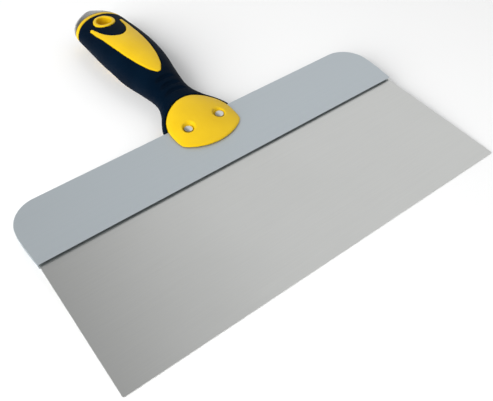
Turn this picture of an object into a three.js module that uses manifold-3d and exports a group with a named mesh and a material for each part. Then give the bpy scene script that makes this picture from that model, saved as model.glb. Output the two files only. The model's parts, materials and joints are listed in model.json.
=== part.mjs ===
// Drywall taping knife: a wide spring-steel blade held in an aluminium backing bar, with a
// two-material handle riveted over the bar and a steel hammer cap in the butt.
//
// The knife is modelled level: X runs across the blade, Y from the working edge to the butt,
// Z up through the blade, with y = 0 at the bar's front edge and z = 0 in the middle of the
// blade's thickness. At the end it is set down on its working edge and the belly of its grip.
import * as THREE from "three";
import { mergeVertices } from "three/addons/utils/BufferGeometryUtils.js";
import Module from "manifold-3d";

const wasm = await Module();
wasm.setup();

// ---- Driving dimensions, in millimetres ----

// Clearance left between pieces that touch on the real knife.
const fitGap = 0.3;

// Blade: one rectangle of spring steel, tucked into the bar's slot.
const bladeWidth = 254;
const bladeExposed = 83;
const bladeThickness = 0.6;
const bladeTuck = 38.8;
const bladeCorner = 1;

// Backing bar: a flat aluminium extrusion with a slot along its front.
const barDepth = 41.5;
const barWall = 1.3;
const barOverhang = 1.7;
const barEndRelief = 0.4;
const barCorner = 18;

// Handle head: the hard plastic jaw that straddles the bar.
const headWidth = 45.4;
const headReach = 24;
const headBow = 34;
const headCorner = 2.5;
const headLip = 3.6;
const headHeight = 8.1;
const domeBehindBar = 16.7;

// Grip: half widths and heights of its outer form, measured from the blade's mid-plane.
const gripLength = 141.5;
const wingHalfWidth = 24.6;
const neckHalfWidth = 12.8;
const gripHalfWidth = 19.8;
const buttHalfWidth = 19.5;
const neckHeight = 8.3;
const gripHeight = 13.7;
const fingerDepth = 12.8;
const ringHeight = 8.2;
const buttHeight = 2.6;
const buttDepth = 9.6;
const buttDroop = 3.6;
const skin = 2.2;

// Exponents of the sections, which are superellipses: 2 is an ellipse and more is fuller.
const headFullness = 1.9;
const gripFullness = 2.15;

// Window in the skin, where the hard core shows as a shield-shaped inlay on both faces.
const inlayFromBar = 43;
const inlayHalfWidth = 12.2;
const inlayHornHalfWidth = 12.9;
const inlayNotchFromButt = 51;
const inlayHornFromButt = 27.5;

// Hang hole, an oval through a boss of the core near the butt.
const holeWidth = 10.6;
const holeLength = 12.6;
const bossWall = 2.4;
const bossProud = 0.4;
const holeFromButt = 25.5;

// Finger ribs: shallow arched grooves across the neck.
const ribFromBar = 25.5;
const ribPitch = 6;
const ribCount = 3;
const ribBow = 22;
const ribRadius = 1.1;
const ribSink = 0.8;

// Butt: a collar of the core, then the hammer cap, each with a front edge bowed in plan.
const buttBow = 28;
const skinFromButt = 12.4;
const collarWidth = 2.8;
const capStemRadius = 4;
const capStemEndWall = 1.5;

// Two-piece compression rivets through the head, the bar and the blade.
const rivetSpacing = 23;
const rivetInset = 6.9;
const rivetHeadRadius = 2.8;
const rivetHeadHeight = 1.3;
const rivetSeat = 4.8;
const rivetShankRadius = 1.5;
const rivetWall = 0.5;
const rivetRecess = 0.6;

// ---- Sizes that follow from them ----

const barThickness = bladeThickness + 2 * (fitGap + barWall);
const buttY = barDepth + gripLength;
const domeY = barDepth + domeBehindBar;
const headTipY = barDepth - headReach;
const rivetY = barDepth - rivetInset;
const holeY = buttY - holeFromButt;
const capFrontY = buttY - skinFromButt + collarWidth + 2 * fitGap;
const rivetTubeRadius = rivetShankRadius + fitGap + rivetWall;
const rivetHoleRadius = rivetTubeRadius + fitGap;
const cutHeight = 4 * Math.max(gripHeight, fingerDepth);

const fromBar = (distance) => barDepth + distance;
const fromButt = (distance) => buttY - distance;
const neckEnd = fromBar(46);
const bellyEnd = fromButt(42);
const alongBelly = (share) => neckEnd + share * (bellyEnd - neckEnd);

// ---- Solids and booleans ----

// A closed three.js geometry as a manifold solid.
function solid(geometry) {
  const bare = geometry.clone();
  bare.deleteAttribute("normal");
  bare.deleteAttribute("uv");
  const merged = mergeVertices(bare, 1e-4);
  const mesh = new wasm.Mesh({
    numProp: 3,
    vertProperties: merged.attributes.position.array,
    triVerts: new Uint32Array(merged.index.array),
  });
  return new wasm.Manifold(mesh);
}

// A manifold solid as a three.js geometry with flat-shaded normals.
function geometryOf(body) {
  const mesh = body.getMesh();
  const geometry = new THREE.BufferGeometry();
  geometry.setAttribute("position", new THREE.BufferAttribute(mesh.vertProperties, 3));
  geometry.setIndex(new THREE.BufferAttribute(mesh.triVerts, 1));
  geometry.computeVertexNormals();
  return geometry;
}

// A plan outline extruded from z = bottom to z = top.
function prism(shape, bottom, top, curveSegments = 12) {
  const options = { depth: top - bottom, bevelEnabled: false, curveSegments };
  const geometry = new THREE.ExtrudeGeometry(shape, options);
  geometry.translate(0, 0, bottom);
  return solid(geometry);
}

// A plan outline extruded well past both faces of the handle.
function throughCut(shape, curveSegments) {
  return prism(shape, -cutHeight / 2, cutHeight / 2, curveSegments);
}

function box(xSize, yFrom, yTo, zSize) {
  const geometry = new THREE.BoxGeometry(xSize, yTo - yFrom, zSize);
  geometry.translate(0, (yFrom + yTo) / 2, 0);
  return solid(geometry);
}

// A round post along Z at (x, y), from z = bottom to z = top.
function post(radius, x, y, bottom, top, sides = 24) {
  const geometry = new THREE.CylinderGeometry(radius, radius, top - bottom, sides);
  geometry.rotateX(Math.PI / 2);
  geometry.translate(x, y, (bottom + top) / 2);
  return solid(geometry);
}

// ---- The grip's outer form ----

// A smooth curve of one size along the handle, through [y, value] points.
function profile(points) {
  const places = points.map(([y]) => y);
  const values = points.map(([, value]) => value);
  const curve = new THREE.CubicInterpolant(places, values, 1);
  return (y) => curve.evaluate(y)[0];
}

const halfWidthAt = profile([
  [fromBar(-50), wingHalfWidth],
  [fromBar(-20), wingHalfWidth],
  [fromBar(0), wingHalfWidth],
  [fromBar(7), THREE.MathUtils.lerp(wingHalfWidth, neckHalfWidth, 0.22)],
  [fromBar(14.5), THREE.MathUtils.lerp(wingHalfWidth, neckHalfWidth, 0.61)],
  [fromBar(23), THREE.MathUtils.lerp(wingHalfWidth, neckHalfWidth, 0.92)],
  [fromBar(31), neckHalfWidth],
  [neckEnd, THREE.MathUtils.lerp(neckHalfWidth, gripHalfWidth, 0.3)],
  [alongBelly(0.26), THREE.MathUtils.lerp(neckHalfWidth, gripHalfWidth, 0.72)],
  [alongBelly(0.55), THREE.MathUtils.lerp(neckHalfWidth, gripHalfWidth, 0.95)],
  [alongBelly(0.85), gripHalfWidth],
  [fromButt(28), buttHalfWidth],
  [fromButt(17), buttHalfWidth - 0.3],
  [fromButt(11), buttHalfWidth - 1.7],
  [fromButt(6), buttHalfWidth - 4.2],
  [fromButt(2.2), buttHalfWidth - 8.3],
  [buttY, buttHalfWidth - 13.3],
]);

const topAt = profile([
  [fromBar(-50), headLip],
  [headTipY, headLip],
  [fromBar(-15.5), THREE.MathUtils.lerp(headLip, headHeight, 0.48)],
  [fromBar(-7), THREE.MathUtils.lerp(headLip, headHeight, 0.84)],
  [fromBar(4), headHeight],
  [fromBar(28), neckHeight],
  [neckEnd, THREE.MathUtils.lerp(neckHeight, gripHeight, 0.68)],
  [alongBelly(0.2), THREE.MathUtils.lerp(neckHeight, gripHeight, 0.93)],
  [alongBelly(0.4), gripHeight],
  [alongBelly(0.62), THREE.MathUtils.lerp(neckHeight, gripHeight, 0.94)],
  [alongBelly(0.83), THREE.MathUtils.lerp(neckHeight, gripHeight, 0.72)],
  [bellyEnd, THREE.MathUtils.lerp(gripHeight, ringHeight, 0.5)],
  [holeY, ringHeight],
  [fromButt(8), THREE.MathUtils.lerp(ringHeight, buttHeight, 0.6)],
  [buttY, buttHeight],
]);

// The underside has two shallow finger valleys, at the neck's end and half way along the belly.
const depthAt = profile([
  [fromBar(-50), headLip],
  [headTipY, headLip],
  [fromBar(-15.5), THREE.MathUtils.lerp(headLip, headHeight, 0.48)],
  [fromBar(-7), THREE.MathUtils.lerp(headLip, headHeight, 0.84)],
  [fromBar(4), headHeight],
  [fromBar(28), neckHeight],
  [neckEnd, fingerDepth - 2.1],
  [alongBelly(0.2), fingerDepth - 0.7],
  [alongBelly(0.37), fingerDepth - 0.1],
  [alongBelly(0.55), fingerDepth - 1.4],
  [alongBelly(0.78), fingerDepth],
  [bellyEnd, fingerDepth - 0.3],
  [fromButt(25), fingerDepth - 1.4],
  [fromButt(8), THREE.MathUtils.lerp(fingerDepth, buttDepth, 0.7)],
  [buttY, buttDepth],
]);

// The widest line of the sections lies in the blade's mid-plane and droops towards the butt.
const waistAt = profile([
  [fromBar(-50), 0],
  [alongBelly(0.2), 0],
  [alongBelly(0.6), 0],
  [bellyEnd, -0.25 * buttDroop],
  [holeY, -0.7 * buttDroop],
  [fromButt(8), -buttDroop],
  [buttY, -buttDroop],
]);

const fullnessAt = profile([
  [fromBar(-50), headFullness],
  [fromBar(0), headFullness],
  [fromBar(31), gripFullness],
  [buttY, gripFullness],
]);

const sectionSides = 24;

// The handle's form between two stations, drawn in by inset all round. Its sections are
// superellipses with separate heights above and below the waist.
function handleForm(yFrom, yTo, inset, steps) {
  const geometry = new THREE.CylinderGeometry(1, 1, 1, sectionSides, steps);
  const place = geometry.attributes.position;
  for (let i = 0; i < place.count; i++) {
    const share = THREE.MathUtils.clamp(place.getY(i) + 0.5, 0, 1);
    const y = yTo - (yTo - yFrom) * Math.pow(1 - share, 1.25);
    const power = 2 / fullnessAt(y);
    const across = place.getX(i);
    const up = place.getZ(i);
    const waist = waistAt(y);
    const height = up > 0 ? topAt(y) - waist : depthAt(y) + waist;
    const x = Math.sign(across) * Math.pow(Math.abs(across), power) * (halfWidthAt(y) - inset);
    const z = Math.sign(up) * Math.pow(Math.abs(up), power) * (height - inset);
    place.setXYZ(i, x, y, waist + z);
  }
  return solid(geometry);
}

// ---- Plan outlines ----

// The head seen from above: bowed front, straight sides, half-round back.
function headOutline(grow) {
  const half = headWidth / 2 + grow;
  const bow = headBow + grow;
  const tip = headTipY - grow;
  const cornerY = tip + bow - Math.sqrt(bow * bow - half * half);
  const bowAt = (x) => tip + bow - Math.sqrt(bow * bow - x * x);
  const bowAngle = Math.asin((half - headCorner) / bow);
  const shape = new THREE.Shape();
  shape.moveTo(half, domeY - headWidth / 2);
  shape.absarc(0, domeY - headWidth / 2, half, 0, Math.PI, false);
  shape.lineTo(-half, cornerY + headCorner);
  shape.quadraticCurveTo(-half, cornerY, headCorner - half, bowAt(half - headCorner));
  shape.absarc(0, tip + bow, bow, 1.5 * Math.PI - bowAngle, 1.5 * Math.PI + bowAngle, false);
  shape.quadraticCurveTo(half, cornerY, half, cornerY + headCorner);
  shape.closePath();
  return shape;
}

// A closed outline moved outwards by grow along its own normals.
function grown(points, grow) {
  return points.map((point, i) => {
    const before = points[(i + points.length - 1) % points.length];
    const after = points[(i + 1) % points.length];
    const along = after.clone().sub(before).normalize();
    return new THREE.Vector2(point.x + along.y * grow, point.y - along.x * grow);
  });
}

// The inlay: a rounded point towards the blade, sides that widen into two horns, and a
// round notch between the horns that holds the hang hole's island.
function inlayOutline(grow) {
  const tip = fromBar(inlayFromBar);
  const notch = fromButt(inlayNotchFromButt);
  const horn = fromButt(inlayHornFromButt);
  const along = (share) => THREE.MathUtils.lerp(tip, horn, share);
  const half = [
    [0, tip],
    [0.3 * inlayHalfWidth, along(0.05)],
    [0.52 * inlayHalfWidth, along(0.13)],
    [0.76 * inlayHalfWidth, along(0.3)],
    [0.93 * inlayHalfWidth, along(0.52)],
    [inlayHalfWidth, along(0.75)],
    [inlayHornHalfWidth, along(0.93)],
    [inlayHornHalfWidth - 0.9, horn],
    [inlayHornHalfWidth - 2.3, along(0.95)],
    [inlayHornHalfWidth - 3.7, THREE.MathUtils.lerp(notch, horn, 0.5)],
    [0.56 * inlayHalfWidth, THREE.MathUtils.lerp(notch, horn, 0.24)],
    [0.3 * inlayHalfWidth, THREE.MathUtils.lerp(notch, horn, 0.07)],
    [0, notch],
  ];
  const right = half.map(([x, y]) => new THREE.Vector2(x, y));
  const left = half.slice(1, -1).map(([x, y]) => new THREE.Vector2(-x, y));
  const curve = new THREE.CatmullRomCurve3(
    [...right, ...left.reverse()].map((point) => new THREE.Vector3(point.x, point.y, 0)),
    true,
    "centripetal",
  );
  const points = curve.getPoints(60).slice(0, -1);
  return new THREE.Shape(grown(points.map((p) => new THREE.Vector2(p.x, p.y)), grow));
}

function oval(width, length, y) {
  const shape = new THREE.Shape();
  shape.absellipse(0, y, width / 2, length / 2, 0, 2 * Math.PI, false);
  return shape;
}

// Everything behind the bowed edge of the skin, moved back by offset.
function behindButtEdge(offset) {
  const apex = fromButt(skinFromButt) + offset;
  const halfSpan = Math.min(buttBow + offset - 1, 2 * buttHalfWidth);
  const bow = buttBow + offset;
  const angle = Math.asin(halfSpan / bow);
  const shape = new THREE.Shape();
  shape.absarc(0, apex - bow, bow, Math.PI / 2 + angle, Math.PI / 2 - angle, true);
  shape.lineTo(halfSpan, buttY + 20);
  shape.lineTo(-halfSpan, buttY + 20);
  shape.closePath();
  return throughCut(shape, 24);
}

// ---- Blade and bar ----

// The blade seen from above: its hidden rear corners are rounded like the bar's over them.
function bladeShape() {
  const half = bladeWidth / 2;
  const rear = bladeTuck;
  const shape = new THREE.Shape();
  shape.moveTo(-half + bladeCorner, -bladeExposed);
  shape.lineTo(half - bladeCorner, -bladeExposed);
  shape.quadraticCurveTo(half, -bladeExposed, half, -bladeExposed + bladeCorner);
  shape.lineTo(half, rear - barCorner);
  shape.absarc(half - barCorner, rear - barCorner, barCorner, 0, Math.PI / 2, false);
  shape.lineTo(barCorner - half, rear);
  shape.absarc(barCorner - half, rear - barCorner, barCorner, Math.PI / 2, Math.PI, false);
  shape.lineTo(-half, -bladeExposed + bladeCorner);
  shape.quadraticCurveTo(-half, -bladeExposed, -half + bladeCorner, -bladeExposed);
  return shape;
}

// The bar seen from above: straight front and back, round back corners, and ends that draw
// in to the blade's own width at the front.
function barShape() {
  const front = bladeWidth / 2 + barEndRelief;
  const wide = bladeWidth / 2 + barOverhang;
  const shoulder = barDepth - barCorner;
  const shape = new THREE.Shape();
  shape.moveTo(-front, 0);
  shape.lineTo(front, 0);
  shape.quadraticCurveTo(wide, shoulder / 2, wide, shoulder);
  shape.absarc(wide - barCorner, shoulder, barCorner, 0, Math.PI / 2, false);
  shape.lineTo(barCorner - wide, barDepth);
  shape.absarc(barCorner - wide, shoulder, barCorner, Math.PI / 2, Math.PI, false);
  shape.quadraticCurveTo(-wide, shoulder / 2, -front, 0);
  return shape;
}

const rivetXs = [-rivetSpacing / 2, rivetSpacing / 2];

function withRivetHoles(body, radius) {
  let drilled = body;
  for (const x of rivetXs) {
    drilled = drilled.subtract(post(radius, x, rivetY, -cutHeight / 2, cutHeight / 2));
  }
  return drilled;
}

function makeBlade() {
  const sheet = prism(bladeShape(), -bladeThickness / 2, bladeThickness / 2, 8);
  return withRivetHoles(sheet, rivetHoleRadius);
}

function makeBar() {
  const stock = prism(barShape(), -barThickness / 2, barThickness / 2, 12);
  const slotHeight = bladeThickness + 2 * fitGap;
  const slot = box(2 * bladeWidth, -barDepth, bladeTuck + fitGap, slotHeight);
  return withRivetHoles(stock.subtract(slot), rivetHoleRadius);
}

// ---- Handle ----

function headForm() {
  return handleForm(headTipY - 4, domeY + 6, 0, 14);
}

function gripForm(inset) {
  return handleForm(fromBar(fitGap), buttY, inset, 28);
}

// The hard core: head, inner grip, inlay, hang-hole boss and butt collar, in one moulding.
function makeCore() {
  const collarBack = fitGap + collarWidth;
  const head = headForm().intersect(throughCut(headOutline(0), 14));
  const inner = gripForm(skin + fitGap).subtract(behindButtEdge(collarBack));
  const inlay = gripForm(0).intersect(throughCut(inlayOutline(0)));
  const bossOval = oval(holeWidth + 2 * bossWall, holeLength + 2 * bossWall, holeY);
  const boss = gripForm(-bossProud).intersect(throughCut(bossOval, 12));
  const collar = gripForm(0).intersect(behindButtEdge(fitGap)).subtract(behindButtEdge(collarBack));
  const jaw = box(2 * headWidth, headTipY - 10, barDepth + fitGap, barThickness + 2 * fitGap);
  const hangHole = throughCut(oval(holeWidth, holeLength, holeY), 12);
  const socket = stem(capStemRadius + fitGap, fitGap);
  let core = head.add(inner).add(inlay).add(boss).add(collar);
  core = core.subtract(jaw).subtract(hangHole).subtract(socket);
  core = withRivetHoles(core, rivetHoleRadius);
  const recessRadius = rivetHeadRadius + rivetRecess;
  const recessFloor = rivetSeat - fitGap;
  for (const x of rivetXs) {
    core = core.subtract(post(recessRadius, x, rivetY, recessFloor, cutHeight / 2));
    core = core.subtract(post(recessRadius, x, rivetY, -cutHeight / 2, -recessFloor));
  }
  return core;
}

// One arched groove across the neck, on the face that side names: 1 is up and -1 is down.
function ribGroove(y, side) {
  const height = side > 0 ? topAt(y) : depthAt(y);
  const geometry = new THREE.TorusGeometry(ribBow, ribRadius, 6, 32);
  geometry.translate(0, y - ribBow, side * (height + ribRadius - ribSink));
  return solid(geometry);
}

// The soft skin: the grip's outer shell, with windows for the inlay and the boss, and two
// wings that run down the sides of the head to the bar.
function makeSkin() {
  let shell = gripForm(0).subtract(handleForm(fromBar(-8), buttY + 8, skin, 28));
  shell = shell.subtract(throughCut(headOutline(fitGap), 14));
  shell = shell.subtract(throughCut(inlayOutline(fitGap)));
  const island = oval(
    holeWidth + 2 * (bossWall + fitGap),
    holeLength + 2 * (bossWall + fitGap),
    holeY,
  );
  shell = shell.subtract(throughCut(island, 12));
  shell = shell.subtract(behindButtEdge(0));
  for (let i = 0; i < ribCount; i++) {
    for (const side of [1, -1]) {
      shell = shell.subtract(ribGroove(fromBar(ribFromBar + i * ribPitch), side));
    }
  }
  return shell;
}

// The hammer cap's stem, lying along the middle of the butt's height. It stops short of the
// hang hole's boss by a wall, less the end clearance given.
function stem(radius, endClearance) {
  const front = holeY + holeLength / 2 + bossWall + capStemEndWall - endClearance;
  const back = capFrontY + 2;
  const middle = (topAt(capFrontY) - depthAt(capFrontY)) / 2;
  const geometry = new THREE.CylinderGeometry(radius, radius, back - front, 24);
  geometry.translate(0, (front + back) / 2, middle);
  return solid(geometry);
}

function makeCap() {
  const face = gripForm(0).intersect(behindButtEdge(2 * fitGap + collarWidth));
  return face.add(stem(capStemRadius, 0));
}

// ---- Rivets ----

// The solid half: a low domed head and a shank, turned about the rivet's axis. Its head is
// on the side that side names, and the shank stops short of the other half's head.
function rivetPin(x, side) {
  const top = rivetSeat + rivetHeadHeight;
  const end = -rivetSeat + fitGap;
  const points = [
    [0, end],
    [rivetShankRadius, end],
    [rivetShankRadius, rivetSeat],
    [rivetHeadRadius, rivetSeat],
    [rivetHeadRadius, rivetSeat + 0.5 * rivetHeadHeight],
    [0.75 * rivetHeadRadius, rivetSeat + 0.9 * rivetHeadHeight],
    [0, top],
  ];
  return turned(points, x, side);
}

// The hollow half: the same head on a tube that the shank is pressed into.
function rivetSocket(x, side) {
  const top = rivetSeat + rivetHeadHeight;
  const bore = rivetShankRadius + fitGap;
  const mouth = -rivetSeat + fitGap;
  const points = [
    [0, rivetSeat],
    [bore, rivetSeat],
    [bore, mouth],
    [rivetTubeRadius, mouth],
    [rivetTubeRadius, rivetSeat],
    [rivetHeadRadius, rivetSeat],
    [rivetHeadRadius, rivetSeat + 0.5 * rivetHeadHeight],
    [0.75 * rivetHeadRadius, rivetSeat + 0.9 * rivetHeadHeight],
    [0, top],
  ];
  return turned(points, x, side);
}

function turned(points, x, side) {
  const outline = points.map(([radius, height]) => new THREE.Vector2(radius, height));
  const geometry = new THREE.LatheGeometry(outline, 24);
  geometry.rotateX((side * Math.PI) / 2);
  geometry.translate(x, rivetY, 0);
  return solid(geometry);
}

// ---- The assembly ----

const springSteel = { color: 0xb9bab6, roughness: 0.32, metalness: 1 };
const millAluminium = { color: 0xa9b2b8, roughness: 0.55, metalness: 0.9 };
const yellowPlastic = { color: 0xf3c62c, roughness: 0.42, metalness: 0 };
const navyRubber = { color: 0x0b1c34, roughness: 0.68, metalness: 0 };
const platedSteel = { color: 0xb4b6b0, roughness: 0.24, metalness: 1 };
const rivetMetal = { color: 0xd6d6d2, roughness: 0.3, metalness: 1 };

function piece(name, body, finish) {
  const mesh = new THREE.Mesh(geometryOf(body), new THREE.MeshStandardMaterial(finish));
  mesh.name = name;
  return mesh;
}

const bladeUnit = new THREE.Group();
bladeUnit.add(piece("blade", makeBlade(), springSteel));
bladeUnit.add(piece("backing_bar", makeBar(), millAluminium));

const handle = new THREE.Group();
handle.add(piece("handle_core", makeCore(), yellowPlastic));
handle.add(piece("grip_skin", makeSkin(), navyRubber));
handle.add(piece("hammer_cap", makeCap(), platedSteel));

const rivets = new THREE.Group();
rivetXs.forEach((x, i) => {
  const place = i === 0 ? "left" : "right";
  rivets.add(piece(`rivet_pin_${place}`, rivetPin(x, 1), rivetMetal));
  rivets.add(piece(`rivet_socket_${place}`, rivetSocket(x, -1), rivetMetal));
});

const knife = new THREE.Group();
knife.add(bladeUnit, handle, rivets);

// The knife lies on the lower corner of its working edge and on the lowest part of its
// grip, so it leans by the steepest line from that corner to any point of the handle.
const edgeY = -bladeExposed;
const edgeZ = -bladeThickness / 2;
let lean = 0;
for (const mesh of handle.children) {
  const place = mesh.geometry.attributes.position;
  for (let i = 0; i < place.count; i++) {
    lean = Math.max(lean, Math.atan2(edgeZ - place.getZ(i), place.getY(i) - edgeY));
  }
}
knife.rotation.x = lean;
knife.updateMatrixWorld(true);

// The part's origin is under the middle of the knife, on the surface it lies on.
const extent = new THREE.Box3().setFromObject(knife, true);
const middle = extent.getCenter(new THREE.Vector3());
knife.position.set(-middle.x, -middle.y, -extent.min.z);

const part = new THREE.Group();
part.add(knife);

export default part;
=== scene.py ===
import json
import math

import bmesh
import bpy
from mathutils import Matrix, Vector


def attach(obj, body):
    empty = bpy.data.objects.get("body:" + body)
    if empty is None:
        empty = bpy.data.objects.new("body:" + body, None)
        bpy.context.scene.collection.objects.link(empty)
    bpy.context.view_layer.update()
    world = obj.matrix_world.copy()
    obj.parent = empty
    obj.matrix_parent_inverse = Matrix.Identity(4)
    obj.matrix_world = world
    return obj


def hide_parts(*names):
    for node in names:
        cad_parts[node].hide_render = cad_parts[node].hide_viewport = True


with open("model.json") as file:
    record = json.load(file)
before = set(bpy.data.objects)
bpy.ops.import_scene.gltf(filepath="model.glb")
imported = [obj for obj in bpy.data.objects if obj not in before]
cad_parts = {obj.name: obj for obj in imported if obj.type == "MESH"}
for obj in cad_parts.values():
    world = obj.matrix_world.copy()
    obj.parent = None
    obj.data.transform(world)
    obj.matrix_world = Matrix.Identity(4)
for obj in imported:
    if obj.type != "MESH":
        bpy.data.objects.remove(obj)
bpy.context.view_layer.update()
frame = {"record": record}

# ---- How the knife lies ----
# The knife rests on its working edge and on the belly of its grip, so the blade leans a little.
# Every piece is shaped with the blade level, y = 0 at the bar's front edge and z = 0 in the
# middle of the blade's thickness, and is laid down once it is finished.
mm = 0.001
blade_front = -83 * mm
blade_thickness = 0.6 * mm
edge = next(m for m in frame["record"]["mounts"] if m["name"] == "working_edge")
edge_level = Vector((0, blade_front, -blade_thickness / 2))
leaning = Matrix.Rotation(math.atan2(-edge["axis"][2], -edge["axis"][1]), 4, "X")
laid = Matrix.Translation(Vector(edge["pos_m"]) - leaning @ edge_level) @ leaning


def take(piece):
    """Make one piece the only selected and the active object."""
    bpy.ops.object.select_all(action="DESELECT")
    piece.select_set(True)
    bpy.context.view_layer.objects.active = piece


def lay_down(piece):
    """Put a finished piece where it lies, with its place in its mesh."""
    take(piece)
    piece.matrix_world = laid @ piece.matrix_world
    bpy.ops.object.transform_apply(location=True, rotation=True, scale=True)


# ---- Camera, floor and soft studio light ----
# A pale, level table with a broad, rather low key light from the left, in a white room whose
# right-hand wall is the brighter one, so that the flat metal shades off towards the left.
camera_data = bpy.data.cameras.new("studio_camera")
camera_data.lens = 42.92
camera_data.sensor_width = 36
camera_data.shift_x = 0.074
camera_data.clip_start = 0.01
camera = bpy.data.objects.new("studio_camera", camera_data)
bpy.context.scene.collection.objects.link(camera)
camera.location = (-0.1534, -0.2474, 0.2460)
camera.rotation_euler = (math.radians(42.25), math.radians(1.81), math.radians(-35.82))
bpy.context.scene.camera = camera
bpy.context.scene.view_settings.view_transform = "Standard"

bpy.ops.object.select_all(action="DESELECT")
bpy.ops.mesh.primitive_plane_add(size=14)
floor = bpy.context.object
floor.name = "table_top"
table_finish = bpy.data.materials.new("pale_table")
table_finish.use_nodes = True
table_shader = table_finish.node_tree.nodes["Principled BSDF"]
table_shader.inputs["Base Color"].default_value = (0.94, 0.94, 0.935, 1)
table_shader.inputs["Roughness"].default_value = 0.7
table_shader.inputs["Specular IOR Level"].default_value = 0.2
floor.data.materials.append(table_finish)

room = bpy.data.worlds.new("studio_room")
bpy.context.scene.world = room
room.use_nodes = True
room_nodes = room.node_tree.nodes
direction = room_nodes.new("ShaderNodeTexCoord")
across_room = room_nodes.new("ShaderNodeSeparateXYZ")
wall_light = room_nodes.new("ShaderNodeMapRange")
wall_light.interpolation_type = "SMOOTHSTEP"
for name, value in (("From Min", -0.06), ("From Max", 0.40), ("To Min", 0.28), ("To Max", 0.80)):
    wall_light.inputs[name].default_value = value
room.node_tree.links.new(direction.outputs["Generated"], across_room.inputs["Vector"])
room.node_tree.links.new(across_room.outputs["X"], wall_light.inputs["Value"])
room.node_tree.links.new(wall_light.outputs["Result"], room_nodes["Background"].inputs["Strength"])
room_nodes["Background"].inputs["Color"].default_value = (0.985, 0.99, 1.0, 1)


def softbox(name, place, target, width, height, power):
    """A soft rectangular lamp that faces a target."""
    lamp_data = bpy.data.lights.new(name, "AREA")
    lamp_data.shape = "RECTANGLE"
    lamp_data.size = width
    lamp_data.size_y = height
    lamp_data.energy = power
    lamp = bpy.data.objects.new(name, lamp_data)
    bpy.context.scene.collection.objects.link(lamp)
    lamp.location = place
    lamp.rotation_euler = (Vector(target) - Vector(place)).to_track_quat("-Z", "Y").to_euler()
    return lamp


# The key lights the matt surfaces only, so that bare metal mirrors the walls and not a lamp.
key = softbox("key_softbox", (-1.6, -0.3, 0.9), (0, 0, 0), 1.8, 1.8, 59)
key.visible_glossy = False

# ---- Blade ----
# One rectangle of rolled spring steel, 0.6 mm thick and 254 mm wide. Its hidden rear corners
# are rounded like the bar's, and its working edge is cut square.
blade_width = 254 * mm
blade_rear = 38.8 * mm
rear_corner = 18 * mm
rivet_spots = ((-11.5 * mm, 34.6 * mm), (11.5 * mm, 34.6 * mm))
rivet_hole_radius = 2.6 * mm


def slab(name, width, y_front, y_rear, z_bottom, z_top):
    """A rectangular block, at its size and place."""
    bpy.ops.object.select_all(action="DESELECT")
    bpy.ops.mesh.primitive_cube_add(
        size=1,
        location=(0, (y_front + y_rear) / 2, (z_bottom + z_top) / 2),
        scale=(width, y_rear - y_front, z_top - z_bottom),
    )
    block = bpy.context.object
    block.name = name
    bpy.ops.object.transform_apply(location=True, rotation=True, scale=True)
    return block


def pick(kind, test):
    """In edit mode, select only the verts, edges or faces that pass a test."""
    mesh = bmesh.from_edit_mesh(bpy.context.object.data)
    bpy.ops.mesh.select_mode(type={"verts": "VERT", "edges": "EDGE", "faces": "FACE"}[kind])
    bpy.ops.mesh.select_all(action="DESELECT")
    for element in getattr(mesh, kind):
        if test(element):
            element.select_set(True)
    mesh.select_flush_mode()
    bmesh.update_edit_mesh(bpy.context.object.data)


def upright(edge):
    """Whether an edge stands along Z."""
    a, b = edge.verts
    return abs(a.co.z - b.co.z) > 5 * abs((a.co - b.co).to_2d().length)


def split_across(y):
    """Cut a line right across the piece in edit mode, at one distance from the bar's front."""
    bpy.ops.mesh.select_all(action="SELECT")
    bpy.ops.mesh.bisect(plane_co=(0, y, 0), plane_no=(0, 1, 0))


def apply(piece, kind, **settings):
    """Give a piece a modifier and apply it."""
    take(piece)
    modifier = piece.modifiers.new(kind.lower(), kind)
    for name, value in settings.items():
        setattr(modifier, name, value)
    bpy.ops.object.modifier_apply(modifier=modifier.name)


def carve(piece, tool, operation="DIFFERENCE"):
    """Cut, join or intersect a piece with a tool body, which is then thrown away."""
    apply(piece, "BOOLEAN", operation=operation, object=tool, solver="EXACT")
    bpy.data.objects.remove(tool)


def drill(piece, radius):
    """Drill both rivet holes."""
    for x, y in rivet_spots:
        bpy.ops.object.select_all(action="DESELECT")
        bpy.ops.mesh.primitive_cylinder_add(
            vertices=48, radius=radius, depth=40 * mm, location=(x, y, 0)
        )
        carve(piece, bpy.context.object)


blade = slab(
    "spring_steel_blade", blade_width, blade_front, blade_rear, -blade_thickness / 2, blade_thickness / 2
)
bpy.ops.object.mode_set(mode="EDIT")
pick("edges", lambda e: upright(e) and e.verts[0].co.y > 0)
bpy.ops.mesh.bevel(offset=rear_corner, segments=16)
pick("edges", lambda e: upright(e) and e.verts[0].co.y < blade_front + mm)
bpy.ops.mesh.bevel(offset=1 * mm, segments=5)
bpy.ops.object.mode_set(mode="OBJECT")
drill(blade, rivet_hole_radius)
apply(blade, "BEVEL", width=0.07 * mm, segments=2, limit_method="ANGLE", angle_limit=math.radians(25))
bpy.ops.object.shade_smooth_by_angle(angle=math.radians(35))
apply(blade, "WEIGHTED_NORMAL", keep_sharp=True)


def put(tree, kind, inputs=None, **settings):
    """Add a shader node, set its properties, and set or link its inputs."""
    made = tree.nodes.new(kind)
    for name, value in settings.items():
        setattr(made, name, value)
    for name, value in (inputs or {}).items():
        if isinstance(value, bpy.types.NodeSocket):
            tree.links.new(value, made.inputs[name])
        else:
            made.inputs[name].default_value = value
    return made


def new_group(name, inputs, outputs):
    """A shader node group with named float inputs and outputs, and its two end nodes."""
    group = bpy.data.node_groups.new(name, "ShaderNodeTree")
    for socket, value in inputs.items():
        made = group.interface.new_socket(socket, in_out="INPUT", socket_type="NodeSocketFloat")
        made.default_value = value
    for socket in outputs:
        group.interface.new_socket(socket, in_out="OUTPUT", socket_type="NodeSocketFloat")
    return group, put(group, "NodeGroupInput"), put(group, "NodeGroupOutput")


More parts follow.
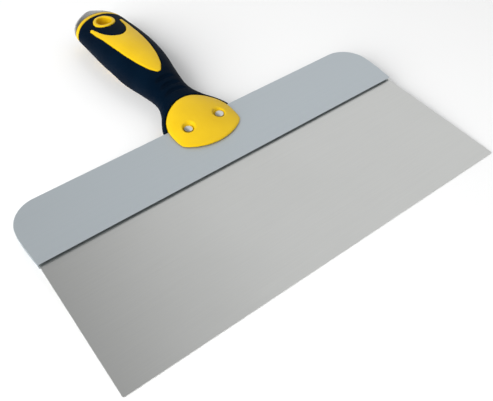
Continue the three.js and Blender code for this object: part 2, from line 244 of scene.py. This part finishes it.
# Lines drawn along the width of a strip by its rolls or its die, each long and very thin.
drawn_lines, ends_in, ends_out = new_group(
    "drawn_lines", {"Fineness": 2500.0, "Length": 0.02, "Seed": 0.0}, ("Lines", "Cloud")
)
place = put(drawn_lines, "ShaderNodeTexCoord")
stretch = put(drawn_lines, "ShaderNodeCombineXYZ", {"X": ends_in.outputs["Length"], "Y": 1.0, "Z": 1.0})
along_strip = put(
    drawn_lines,
    "ShaderNodeVectorMath",
    {0: place.outputs["Object"], 1: stretch.outputs["Vector"]},
    operation="MULTIPLY",
)
fine_lines = put(
    drawn_lines,
    "ShaderNodeTexNoise",
    {
        "Vector": along_strip.outputs["Vector"],
        "W": ends_in.outputs["Seed"],
        "Scale": ends_in.outputs["Fineness"],
        "Detail": 5.0,
        "Roughness": 0.65,
    },
    noise_dimensions="4D",
)
cloud = put(
    drawn_lines,
    "ShaderNodeTexNoise",
    {"Vector": place.outputs["Object"], "W": ends_in.outputs["Seed"], "Scale": 22.0, "Detail": 4.0},
    noise_dimensions="4D",
)
drawn_lines.links.new(fine_lines.outputs["Fac"], ends_out.inputs["Lines"])
drawn_lines.links.new(cloud.outputs["Fac"], ends_out.inputs["Cloud"])


def blended(tree, factor, low, high):
    """A colour between two, by a factor socket."""
    mix = put(tree, "ShaderNodeMix", {"Factor": factor}, data_type="RGBA")
    mix.inputs["A"].default_value = (*low, 1)
    mix.inputs["B"].default_value = (*high, 1)
    return mix.outputs["Result"]


def spread(tree, value, low, high, to_low, to_high):
    """A value socket moved from one range to another."""
    inputs = {"Value": value, "From Min": low, "From Max": high, "To Min": to_low, "To Max": to_high}
    return put(tree, "ShaderNodeMapRange", inputs).outputs["Result"]


def two_tone(tree, pattern, low, high):
    """A colour that wanders between two with a noise pattern."""
    return blended(tree, spread(tree, pattern, 0.3, 0.7, 0, 1), low, high)


def bumped(tree, height, strength, distance):
    """A surface normal raised by a pattern."""
    inputs = {"Strength": strength, "Distance": distance, "Height": height}
    return put(tree, "ShaderNodeBump", inputs).outputs["Normal"]


def surface(name):
    """A new material, its node tree and its surface shader."""
    material = bpy.data.materials.new(name)
    material.use_nodes = True
    return material, material.node_tree, material.node_tree.nodes["Principled BSDF"]


spring_steel, tree, shader = surface("satin_spring_steel")
rolled = put(tree, "ShaderNodeGroup", node_tree=drawn_lines)
rolled.inputs["Fineness"].default_value = 2600.0
rolled.inputs["Length"].default_value = 0.012
rolled.inputs["Seed"].default_value = 3.0
tree.links.new(
    two_tone(tree, rolled.outputs["Lines"], (0.695, 0.70, 0.68), (0.73, 0.735, 0.715)),
    shader.inputs["Base Color"],
)
shader.inputs["Metallic"].default_value = 1.0
tree.links.new(spread(tree, rolled.outputs["Cloud"], 0.25, 0.75, 0.29, 0.35), shader.inputs["Roughness"])
tree.links.new(bumped(tree, rolled.outputs["Lines"], 0.12, 0.00003), shader.inputs["Normal"])
blade.data.materials.append(spring_steel)

lay_down(blade)
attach(blade, "root")
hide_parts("blade")

# ---- Backing bar ----
# A flat aluminium extrusion with a slot along its front that grips the blade. Its back corners
# are round, its lips are undercut at the front, and its face falls slightly from 18 mm back.
bar_half = 128.7 * mm
bar_front_half = 127.4 * mm
bar_depth = 41.5 * mm
bar_half_height = 1.9 * mm
slot_half_height = 0.6 * mm
fall_start = 18 * mm
fall = 0.1 * mm
lip_undercut = 2.0 * mm

bar = slab("backing_bar_extrusion", 2 * bar_half, 0, bar_depth, -bar_half_height, bar_half_height)
bpy.ops.object.mode_set(mode="EDIT")
pick("edges", lambda e: upright(e) and e.verts[0].co.y > bar_depth - mm)
bpy.ops.mesh.bevel(offset=rear_corner, segments=20)
for y in (6 * mm, 12 * mm, fall_start):
    split_across(y)
for y, half in ((0, bar_front_half), (6 * mm, bar_half - 0.75 * mm), (12 * mm, bar_half - 0.25 * mm)):
    pick("verts", lambda v: abs(v.co.y - y) < 0.1 * mm)
    bpy.ops.transform.resize(value=(half / bar_half, 1, 1), center_override=(0, y, 0))
for y, drop in ((0, fall), (6 * mm, fall * 2 / 3), (12 * mm, fall / 3)):
    pick("verts", lambda v: abs(v.co.y - y) < 0.1 * mm)
    height = bar_half_height
    bpy.ops.transform.resize(value=(1, 1, (height - drop) / height), center_override=(0, y, 0))
bpy.ops.object.mode_set(mode="OBJECT")
carve(bar, slab("slot", 0.3, -20 * mm, blade_rear + 0.3 * mm, -slot_half_height, slot_half_height))
bpy.ops.object.mode_set(mode="EDIT")
pick("verts", lambda v: v.co.y < 0.1 * mm and abs(abs(v.co.z) - slot_half_height) < 0.05 * mm)
bpy.ops.transform.translate(value=(0, lip_undercut, 0))
bpy.ops.object.mode_set(mode="OBJECT")
drill(bar, rivet_hole_radius)
apply(bar, "BEVEL", width=0.25 * mm, segments=4, limit_method="ANGLE", angle_limit=math.radians(40))
bpy.ops.object.shade_smooth_by_angle(angle=math.radians(35))
apply(bar, "WEIGHTED_NORMAL", keep_sharp=True)

mill_aluminium, tree, shader = surface("mill_aluminium")
die = put(tree, "ShaderNodeGroup", node_tree=drawn_lines)
die.inputs["Fineness"].default_value = 700.0
die.inputs["Length"].default_value = 0.006
die.inputs["Seed"].default_value = 11.0
tree.links.new(
    two_tone(tree, die.outputs["Lines"], (0.54, 0.595, 0.625), (0.58, 0.63, 0.66)),
    shader.inputs["Base Color"],
)
shader.inputs["Metallic"].default_value = 0.7
tree.links.new(spread(tree, die.outputs["Lines"], 0.3, 0.7, 0.46, 0.58), shader.inputs["Roughness"])
tree.links.new(bumped(tree, die.outputs["Lines"], 0.2, 0.00005), shader.inputs["Normal"])
bar.data.materials.append(mill_aluminium)

lay_down(bar)
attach(bar, "root")
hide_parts("backing_bar")

# ---- Handle core ----
# The hard yellow moulding: a jaw that straddles the bar and is riveted through it, the inside
# of the grip, the shield-shaped inlay on both faces, the hang hole's rim and the butt's collar.
half_width_curve = (
    (10, 24.6), (30, 24.6), (41.5, 24.6), (48.5, 22), (56, 17.4), (64.5, 13.7), (72.5, 12.8),
    (87.5, 14.9), (101.4, 17.8), (117, 19.4), (133, 19.8), (155, 19.5), (166, 19.2), (172, 17.8),
    (177, 15.3), (180.8, 11.2), (183, 6.2),
)
top_curve = (
    (10, 3.3), (17.5, 3.6), (26, 5.8), (34.5, 7.4), (45.5, 8.1), (69.5, 8.3), (87.5, 12),
    (98.2, 13.3), (108.9, 13.7), (120.7, 13.4), (131.9, 12.2), (141, 10.9), (157.5, 8.2),
    (175, 4.8), (183, 2.6),
)
depth_curve = (
    (10, 3.3), (17.5, 3.6), (26, 5.8), (34.5, 7.4), (45.5, 8.1), (69.5, 8.3), (87.5, 10.7),
    (98, 12.1), (107, 12.7), (117, 11.4), (129, 12.8), (141, 12.5), (158, 11.4), (175, 10.6),
    (183, 9.6),
)
waist_curve = ((10, 0), (98, 0), (119, 0), (141, -0.9), (157.5, -2.5), (175, -3.6), (183, -3.6))
butt_end = 183
core_inset = 2.5
surface_margin = 0.04
rim_rise = 0.5
fit_gap = 0.3


def along(curve, y):
    """The height, at y, of a smooth curve drawn through (y, value) points."""
    i = max(k for k in range(len(curve) - 1) if y >= curve[k][0] or k == 0)
    (y0, v0), (y1, v1) = curve[i], curve[i + 1]
    before, after = curve[max(i - 1, 0)], curve[min(i + 2, len(curve) - 1)]
    reach = y1 - y0
    rise0 = reach * (v1 - before[1]) / (y1 - before[0])
    rise1 = reach * (after[1] - v0) / (after[0] - y0)
    t = (y - y0) / reach
    ends = v0 * (1 + 2 * t) * (1 - t) ** 2 + v1 * t * t * (3 - 2 * t)
    return ends + rise0 * t * (1 - t) ** 2 + rise1 * t * t * (t - 1)


def handle_form(name, front, back, inset, roundness=0.525):
    """The handle's rounded form between two places, drawn in by an inset all round.

    Roundness is 0.5 for an elliptical section, and more for a squarer one.
    """
    steps = max(4, round((back - front) / 3.5))
    places = [front + (back - front) * (1 - (1 - i / steps) ** 1.3) for i in range(steps + 1)]
    bpy.ops.object.select_all(action="DESELECT")
    waist = along(waist_curve, front)
    bpy.ops.mesh.primitive_plane_add(
        size=2 * mm, location=(0, front * mm, waist * mm), rotation=(math.pi / 2, 0, 0)
    )
    form = bpy.context.object
    form.name = name
    bpy.ops.object.transform_apply(location=True, rotation=True, scale=True)
    bpy.ops.object.mode_set(mode="EDIT")
    bpy.ops.mesh.select_all(action="SELECT")
    bpy.ops.mesh.bevel(offset=mm, segments=10, profile=roundness, affect="VERTICES")
    bpy.ops.mesh.select_all(action="SELECT")
    bpy.ops.mesh.remove_doubles(threshold=0.01 * mm)
    sizes = (1.0, 1.0, 1.0)
    for i, y in enumerate(places):
        rise = along(waist_curve, y) - waist
        waist += rise
        if i:
            step = (0, (y - places[i - 1]) * mm, rise * mm)
            bpy.ops.mesh.extrude_region_move(TRANSFORM_OT_translate={"value": step})
        new_sizes = (
            along(half_width_curve, y) - inset,
            along(top_curve, y) - waist - inset,
            along(depth_curve, y) + waist - inset,
        )
        wider, higher, deeper = (new / old for new, old in zip(new_sizes, sizes))
        sizes = new_sizes
        here = (0, y * mm, waist * mm)
        on_ring = lambda v: abs(v.co.y - y * mm) < 0.001 * mm
        bpy.ops.transform.resize(value=(wider, 1, 1), center_override=here)
        pick("verts", lambda v: on_ring(v) and v.co.z > waist * mm)
        bpy.ops.transform.resize(value=(1, 1, higher), center_override=here)
        pick("verts", lambda v: on_ring(v) and v.co.z < waist * mm)
        bpy.ops.transform.resize(value=(1, 1, deeper), center_override=here)
        pick("faces", lambda f: all(on_ring(v) for v in f.verts))
    bpy.ops.mesh.select_all(action="SELECT")
    bpy.ops.mesh.normals_make_consistent(inside=False)
    bpy.ops.object.mode_set(mode="OBJECT")
    return form


def plan_block(name, outline):
    """A tall block with upright walls on a smooth closed outline, given as points in mm."""
    bpy.ops.object.select_all(action="DESELECT")
    bpy.ops.curve.primitive_bezier_circle_add(radius=10 * mm, location=(0, 0, -30 * mm))
    block = bpy.context.object
    block.name = name
    line = block.data.splines[0]
    line.bezier_points.add(len(outline) - len(line.bezier_points))
    for point, (x, y) in zip(line.bezier_points, outline):
        point.co = (x * mm, y * mm, 0)
        point.handle_left_type = "AUTO"
        point.handle_right_type = "AUTO"
    line.resolution_u = 8
    bpy.ops.object.convert(target="MESH")
    block = bpy.context.object
    bpy.ops.object.transform_apply(location=True, rotation=True, scale=True)
    bpy.ops.object.mode_set(mode="EDIT")
    bpy.ops.mesh.select_all(action="SELECT")
    bpy.ops.mesh.remove_doubles(threshold=0.005 * mm)
    bpy.ops.mesh.edge_face_add()
    bpy.ops.mesh.extrude_region_move(TRANSFORM_OT_translate={"value": (0, 0, 60 * mm)})
    bpy.ops.mesh.select_all(action="SELECT")
    bpy.ops.mesh.normals_make_consistent(inside=False)
    bpy.ops.object.mode_set(mode="OBJECT")
    return block


def mirrored(half):
    """A half outline from one point on the middle line to another, and its mirror image."""
    return list(half) + [(-x, y) for x, y in reversed(half[1:-1])]


def grown(outline, by):
    """A closed counter-clockwise outline moved outwards."""
    moved = []
    for i, (x, y) in enumerate(outline):
        before, after = outline[i - 1], outline[(i + 1) % len(outline)]
        run = Vector((after[0] - before[0], after[1] - before[1])).normalized()
        moved.append((x + run.y * by, y - run.x * by))
    return moved


head_outline = mirrored(
    (
        (0, 17.5), (6, 18), (12, 19.7), (17.5, 22.4), (20.6, 24.5), (22, 26), (22.6, 28.5),
        (22.7, 35.5), (21, 44.2), (16.1, 51.6), (8.7, 56.5), (0, 58.2),
    )
)
inlay_outline = mirrored(
    (
        (0, 84.5), (3.7, 88), (6.3, 93.7), (9.3, 105.8), (11.3, 121.4), (12.2, 137.7),
        (12.9, 150.7), (12, 155.5), (10.6, 152), (9.2, 143.7), (6.8, 137.6), (3.7, 133.6), (0, 132),
    )
)
hole_centre = 157.5
hole_sizes = (10.6, 12.6)
rim_wall = 2.4
collar_width = 3.4
jaw_half_height = 2.2
recess_floor = 4.5
recess_floor_radius = 3.1
recess_mouth_radius = 6.4
recess_depth = 6


def oval(grow):
    """The hang hole's oval outline, grown all round."""
    across, lengthwise = (size / 2 + grow for size in hole_sizes)
    turns = [math.tau * i / 16 for i in range(16)]
    return [(across * math.cos(t), hole_centre + lengthwise * math.sin(t)) for t in turns]


def behind_butt_line(set_back):
    """A block that holds everything behind the bowed edge of the skin, moved back."""
    bow = 28 + set_back
    apex = butt_end - 12.4 + set_back
    bpy.ops.object.select_all(action="DESELECT")
    bpy.ops.mesh.primitive_cylinder_add(
        vertices=256, radius=bow * mm, depth=0.08, location=(0, (apex - bow) * mm, 0)
    )
    disc = bpy.context.object
    block = slab("behind_butt_line", 0.05, 145 * mm, 0.21, -30 * mm, 30 * mm)
    carve(block, disc)
    return block


def copy_of(piece, name):
    """A copy of a piece, with its own mesh."""
    take(piece)
    bpy.ops.object.duplicate()
    bpy.context.object.name = name
    return bpy.context.object


def moulded(piece, fineness, rounding, share):
    """Give a piece even, softly rounded moulded edges, and thin out its mesh."""
    apply(piece, "REMESH", mode="VOXEL", voxel_size=fineness * mm)
    apply(piece, "SMOOTH", factor=0.5, iterations=rounding)
    if share < 1:
        apply(piece, "DECIMATE", ratio=share)
    take(piece)
    bpy.ops.object.shade_smooth()


core = handle_form("head", 13, 64, 0, 0.495)
carve(core, plan_block("head_plan", head_outline), "INTERSECT")
moulded(core, 0.5, 22, 1)
carve(core, handle_form("inside", 44, butt_end - 4, core_inset), "UNION")
inlay = handle_form("inlay", 80, 160, surface_margin)
carve(inlay, plan_block("inlay_plan", inlay_outline), "INTERSECT")
carve(core, inlay, "UNION")
rim = handle_form("rim", 145, 170, -rim_rise)
carve(rim, plan_block("rim_plan", oval(rim_wall)), "INTERSECT")
carve(core, rim, "UNION")
carve(core, behind_butt_line(fit_gap + collar_width))
collar = handle_form("collar", 150, butt_end, 0)
carve(collar, behind_butt_line(fit_gap), "INTERSECT")
carve(collar, behind_butt_line(fit_gap + collar_width))
carve(core, collar, "UNION")
jaw_height = jaw_half_height * mm
carve(core, slab("jaw", 0.09, 5 * mm, bar_depth + fit_gap * mm, -jaw_height, jaw_height))
carve(core, plan_block("hole", oval(0)))
drill(core, 2.6 * mm)
for x, y in rivet_spots:
    for side in (1, -1):
        bpy.ops.object.select_all(action="DESELECT")
        bpy.ops.mesh.primitive_cone_add(
            vertices=64,
            radius1=recess_floor_radius * mm,
            radius2=recess_mouth_radius * mm,
            depth=recess_depth * mm,
            location=(x, y, side * (recess_floor + recess_depth / 2) * mm),
            rotation=(0 if side > 0 else math.pi, 0, 0),
        )
        carve(core, bpy.context.object)
moulded(core, 0.42, 7, 0.6)

# Fine mould texture, slow mottling and small rubbed patches, for the moulded materials.
mould_texture, ends_in, ends_out = new_group(
    "mould_texture", {"Grain": 3200.0, "Seed": 0.0}, ("Grain", "Mottle", "Rub")
)
place = put(mould_texture, "ShaderNodeTexCoord")
for label, scale, detail, rough in (
    ("Grain", ends_in.outputs["Grain"], 2.0, 0.6),
    ("Mottle", 55.0, 3.0, 0.5),
    ("Rub", 210.0, 8.0, 0.75),
):
    noise = put(
        mould_texture,
        "ShaderNodeTexNoise",
        {
            "Vector": place.outputs["Object"],
            "W": ends_in.outputs["Seed"],
            "Scale": scale,
            "Detail": detail,
            "Roughness": rough,
        },
        noise_dimensions="4D",
    )
    mould_texture.links.new(noise.outputs["Fac"], ends_out.inputs[label])

yellow_plastic, tree, shader = surface("yellow_moulded_plastic")
mould = put(tree, "ShaderNodeGroup", {"Grain": 2600.0, "Seed": 2.0}, node_tree=mould_texture)
tree.links.new(
    two_tone(tree, mould.outputs["Mottle"], (0.70, 0.445, 0.004), (0.76, 0.495, 0.007)),
    shader.inputs["Base Color"],
)
tree.links.new(spread(tree, mould.outputs["Rub"], 0.35, 0.7, 0.36, 0.5), shader.inputs["Roughness"])
shader.inputs["Specular IOR Level"].default_value = 0.3
tree.links.new(bumped(tree, mould.outputs["Grain"], 0.3, 0.00004), shader.inputs["Normal"])
core.data.materials.clear()
core.data.materials.append(yellow_plastic)
core.name = "yellow_handle_core"

lay_down(core)
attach(core, "root")
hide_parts("handle_core")

# ---- Grip skin ----
# Soft navy rubber moulded over the core, about 2 mm thick. Two wings run down to the bar on
# either side of the head, three arched grooves cross the neck, and windows show the core.
skin_wall = 2.2
rib_places = (67, 73, 79)
rib_bow = 22
rib_radius = 1.7
rib_sink = 1.7

grip = handle_form("soft_grip_skin", 41.8, butt_end, surface_margin)
carve(grip, handle_form("hollow", 34, butt_end + 4, skin_wall))
carve(grip, plan_block("head_window", grown(head_outline, fit_gap)))
carve(grip, plan_block("inlay_window", grown(inlay_outline, fit_gap)))
carve(grip, plan_block("rim_window", oval(rim_wall + fit_gap)))
carve(grip, behind_butt_line(0))
for y in rib_places:
    for side, curve in ((1, top_curve), (-1, depth_curve)):
        bpy.ops.object.select_all(action="DESELECT")
        bpy.ops.mesh.primitive_torus_add(
            major_radius=rib_bow * mm,
            minor_radius=rib_radius * mm,
            major_segments=96,
            minor_segments=16,
            location=(0, (y - rib_bow) * mm, side * (along(curve, y) + rib_radius - rib_sink) * mm),
        )
        carve(grip, bpy.context.object)
moulded(grip, 0.45, 4, 0.62)

navy_rubber, tree, shader = surface("navy_soft_rubber")
mould = put(tree, "ShaderNodeGroup", {"Grain": 3600.0, "Seed": 7.0}, node_tree=mould_texture)
tree.links.new(
    two_tone(tree, mould.outputs["Mottle"], (0.0002, 0.0038, 0.0110), (0.0007, 0.0060, 0.0155)),
    shader.inputs["Base Color"],
)
tree.links.new(spread(tree, mould.outputs["Rub"], 0.35, 0.7, 0.58, 0.74), shader.inputs["Roughness"])
shader.inputs["Specular IOR Level"].default_value = 0.05
tree.links.new(bumped(tree, mould.outputs["Grain"], 0.5, 0.00006), shader.inputs["Normal"])
grip.data.materials.clear()
grip.data.materials.append(navy_rubber)

lay_down(grip)
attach(grip, "root")
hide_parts("grip_skin")

# ---- Hammer cap ----
# A plated steel cap with a short stem pressed into the butt, for setting popped nails.
stem_radius = 4
stem_length = 10
stem_middle = 173
stem_height = -3.4

cap = handle_form("steel_hammer_cap", 150, butt_end, 0)
carve(cap, behind_butt_line(collar_width + 2 * fit_gap), "INTERSECT")
bpy.ops.object.select_all(action="DESELECT")
bpy.ops.mesh.primitive_cylinder_add(
    vertices=48,
    radius=stem_radius * mm,
    depth=stem_length * mm,
    location=(0, stem_middle * mm, stem_height * mm),
    rotation=(math.pi / 2, 0, 0),
)
carve(cap, bpy.context.object, "UNION")
moulded(cap, 0.3, 9, 1)

plated_steel, tree, shader = surface("plated_steel")
plating = put(tree, "ShaderNodeGroup", {"Grain": 1500.0, "Seed": 5.0}, node_tree=mould_texture)
tree.links.new(
    two_tone(tree, plating.outputs["Mottle"], (0.36, 0.36, 0.35), (0.44, 0.44, 0.42)),
    shader.inputs["Base Color"],
)
shader.inputs["Metallic"].default_value = 1.0
tree.links.new(spread(tree, plating.outputs["Mottle"], 0.3, 0.7, 0.24, 0.32), shader.inputs["Roughness"])
tree.links.new(bumped(tree, plating.outputs["Mottle"], 0.2, 0.00005), shader.inputs["Normal"])
cap.data.materials.clear()
cap.data.materials.append(plated_steel)

lay_down(cap)
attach(cap, "root")
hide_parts("hammer_cap")

# ---- Rivets ----
# Two-piece compression rivets in bright steel: a solid pin pressed from above into a hollow
# half from below, each with a low domed head that sits in a dished recess of the head.
seat = 4.8
head_radius = 2.8
head_height = 1.3


def rivet_half(name, shank_radius, shank_end, bore_radius=0):
    """A domed head with a round shank below it; a bore makes the shank a tube."""
    bpy.ops.object.select_all(action="DESELECT")
    bpy.ops.mesh.primitive_cylinder_add(
        vertices=48,
        radius=head_radius * mm,
        depth=head_height * mm,
        location=(0, 0, (seat + head_height / 2) * mm),
    )
    half = bpy.context.object
    half.name = name
    bpy.ops.object.transform_apply(location=True, rotation=True, scale=True)
    bpy.ops.object.mode_set(mode="EDIT")
    pick("faces", lambda f: f.normal.z < -0.9)
    bpy.ops.mesh.inset(thickness=(head_radius - shank_radius) * mm)
    bpy.ops.mesh.extrude_region_move(TRANSFORM_OT_translate={"value": (0, 0, (shank_end - seat) * mm)})
    if bore_radius:
        bpy.ops.mesh.inset(thickness=(shank_radius - bore_radius) * mm)
        bpy.ops.mesh.extrude_region_move(TRANSFORM_OT_translate={"value": (0, 0, (seat - shank_end) * mm)})
    rim_height = (seat + head_height) * mm
    pick("faces", lambda f: f.normal.z > 0.9 and f.calc_center_median().z > rim_height - 0.1 * mm)
    for inwards, rise in ((0.5, 0.0), (0.6, 0.0), (0.6, 0.0), (0.5, 0.0), (0.3, 0.0)):
        bpy.ops.mesh.inset(thickness=inwards * mm)
    for radius, sink in ((head_radius, 0.75), (2.3, 0.42), (1.7, 0.2), (1.1, 0.07), (0.6, 0.02)):
        on_circle = lambda v: abs(v.co.to_2d().length - radius * mm) < 0.05 * mm
        pick("verts", lambda v: v.co.z > rim_height - 0.1 * mm and on_circle(v))
        bpy.ops.transform.translate(value=(0, 0, -sink * mm))
    bpy.ops.object.mode_set(mode="OBJECT")
    apply(half, "BEVEL", width=0.12 * mm, segments=3, limit_method="ANGLE", angle_limit=math.radians(50))
    bpy.ops.object.shade_smooth_by_angle(angle=math.radians(50))
    return half


rivet_metal, tree, shader = surface("bright_rivet_steel")
pressed = put(tree, "ShaderNodeGroup", {"Grain": 1800.0, "Seed": 9.0}, node_tree=mould_texture)
tree.links.new(
    two_tone(tree, pressed.outputs["Rub"], (0.72, 0.72, 0.7), (0.82, 0.82, 0.8)),
    shader.inputs["Base Color"],
)
shader.inputs["Metallic"].default_value = 1.0
tree.links.new(spread(tree, pressed.outputs["Rub"], 0.35, 0.7, 0.22, 0.36), shader.inputs["Roughness"])

pin = rivet_half("pin_pattern", 1.5, 0.3 - seat)
tube = rivet_half("tube_pattern", 2.3, 0.3 - seat, 1.8)
for place_name, (x, y) in zip(("left", "right"), rivet_spots):
    for pattern, kind, turn in ((pin, "pin", 0), (tube, "socket", math.pi)):
        rivet = copy_of(pattern, f"rivet_{kind}_{place_name}_steel")
        rivet.rotation_euler = (turn, 0, 0)
        rivet.location = (x, y, 0)
        bpy.ops.object.transform_apply(location=True, rotation=True, scale=True)
        rivet.data.materials.append(rivet_metal)
        lay_down(rivet)
        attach(rivet, "root")
        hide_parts(f"rivet_{kind}_{place_name}")
bpy.data.objects.remove(pin)
bpy.data.objects.remove(tube)
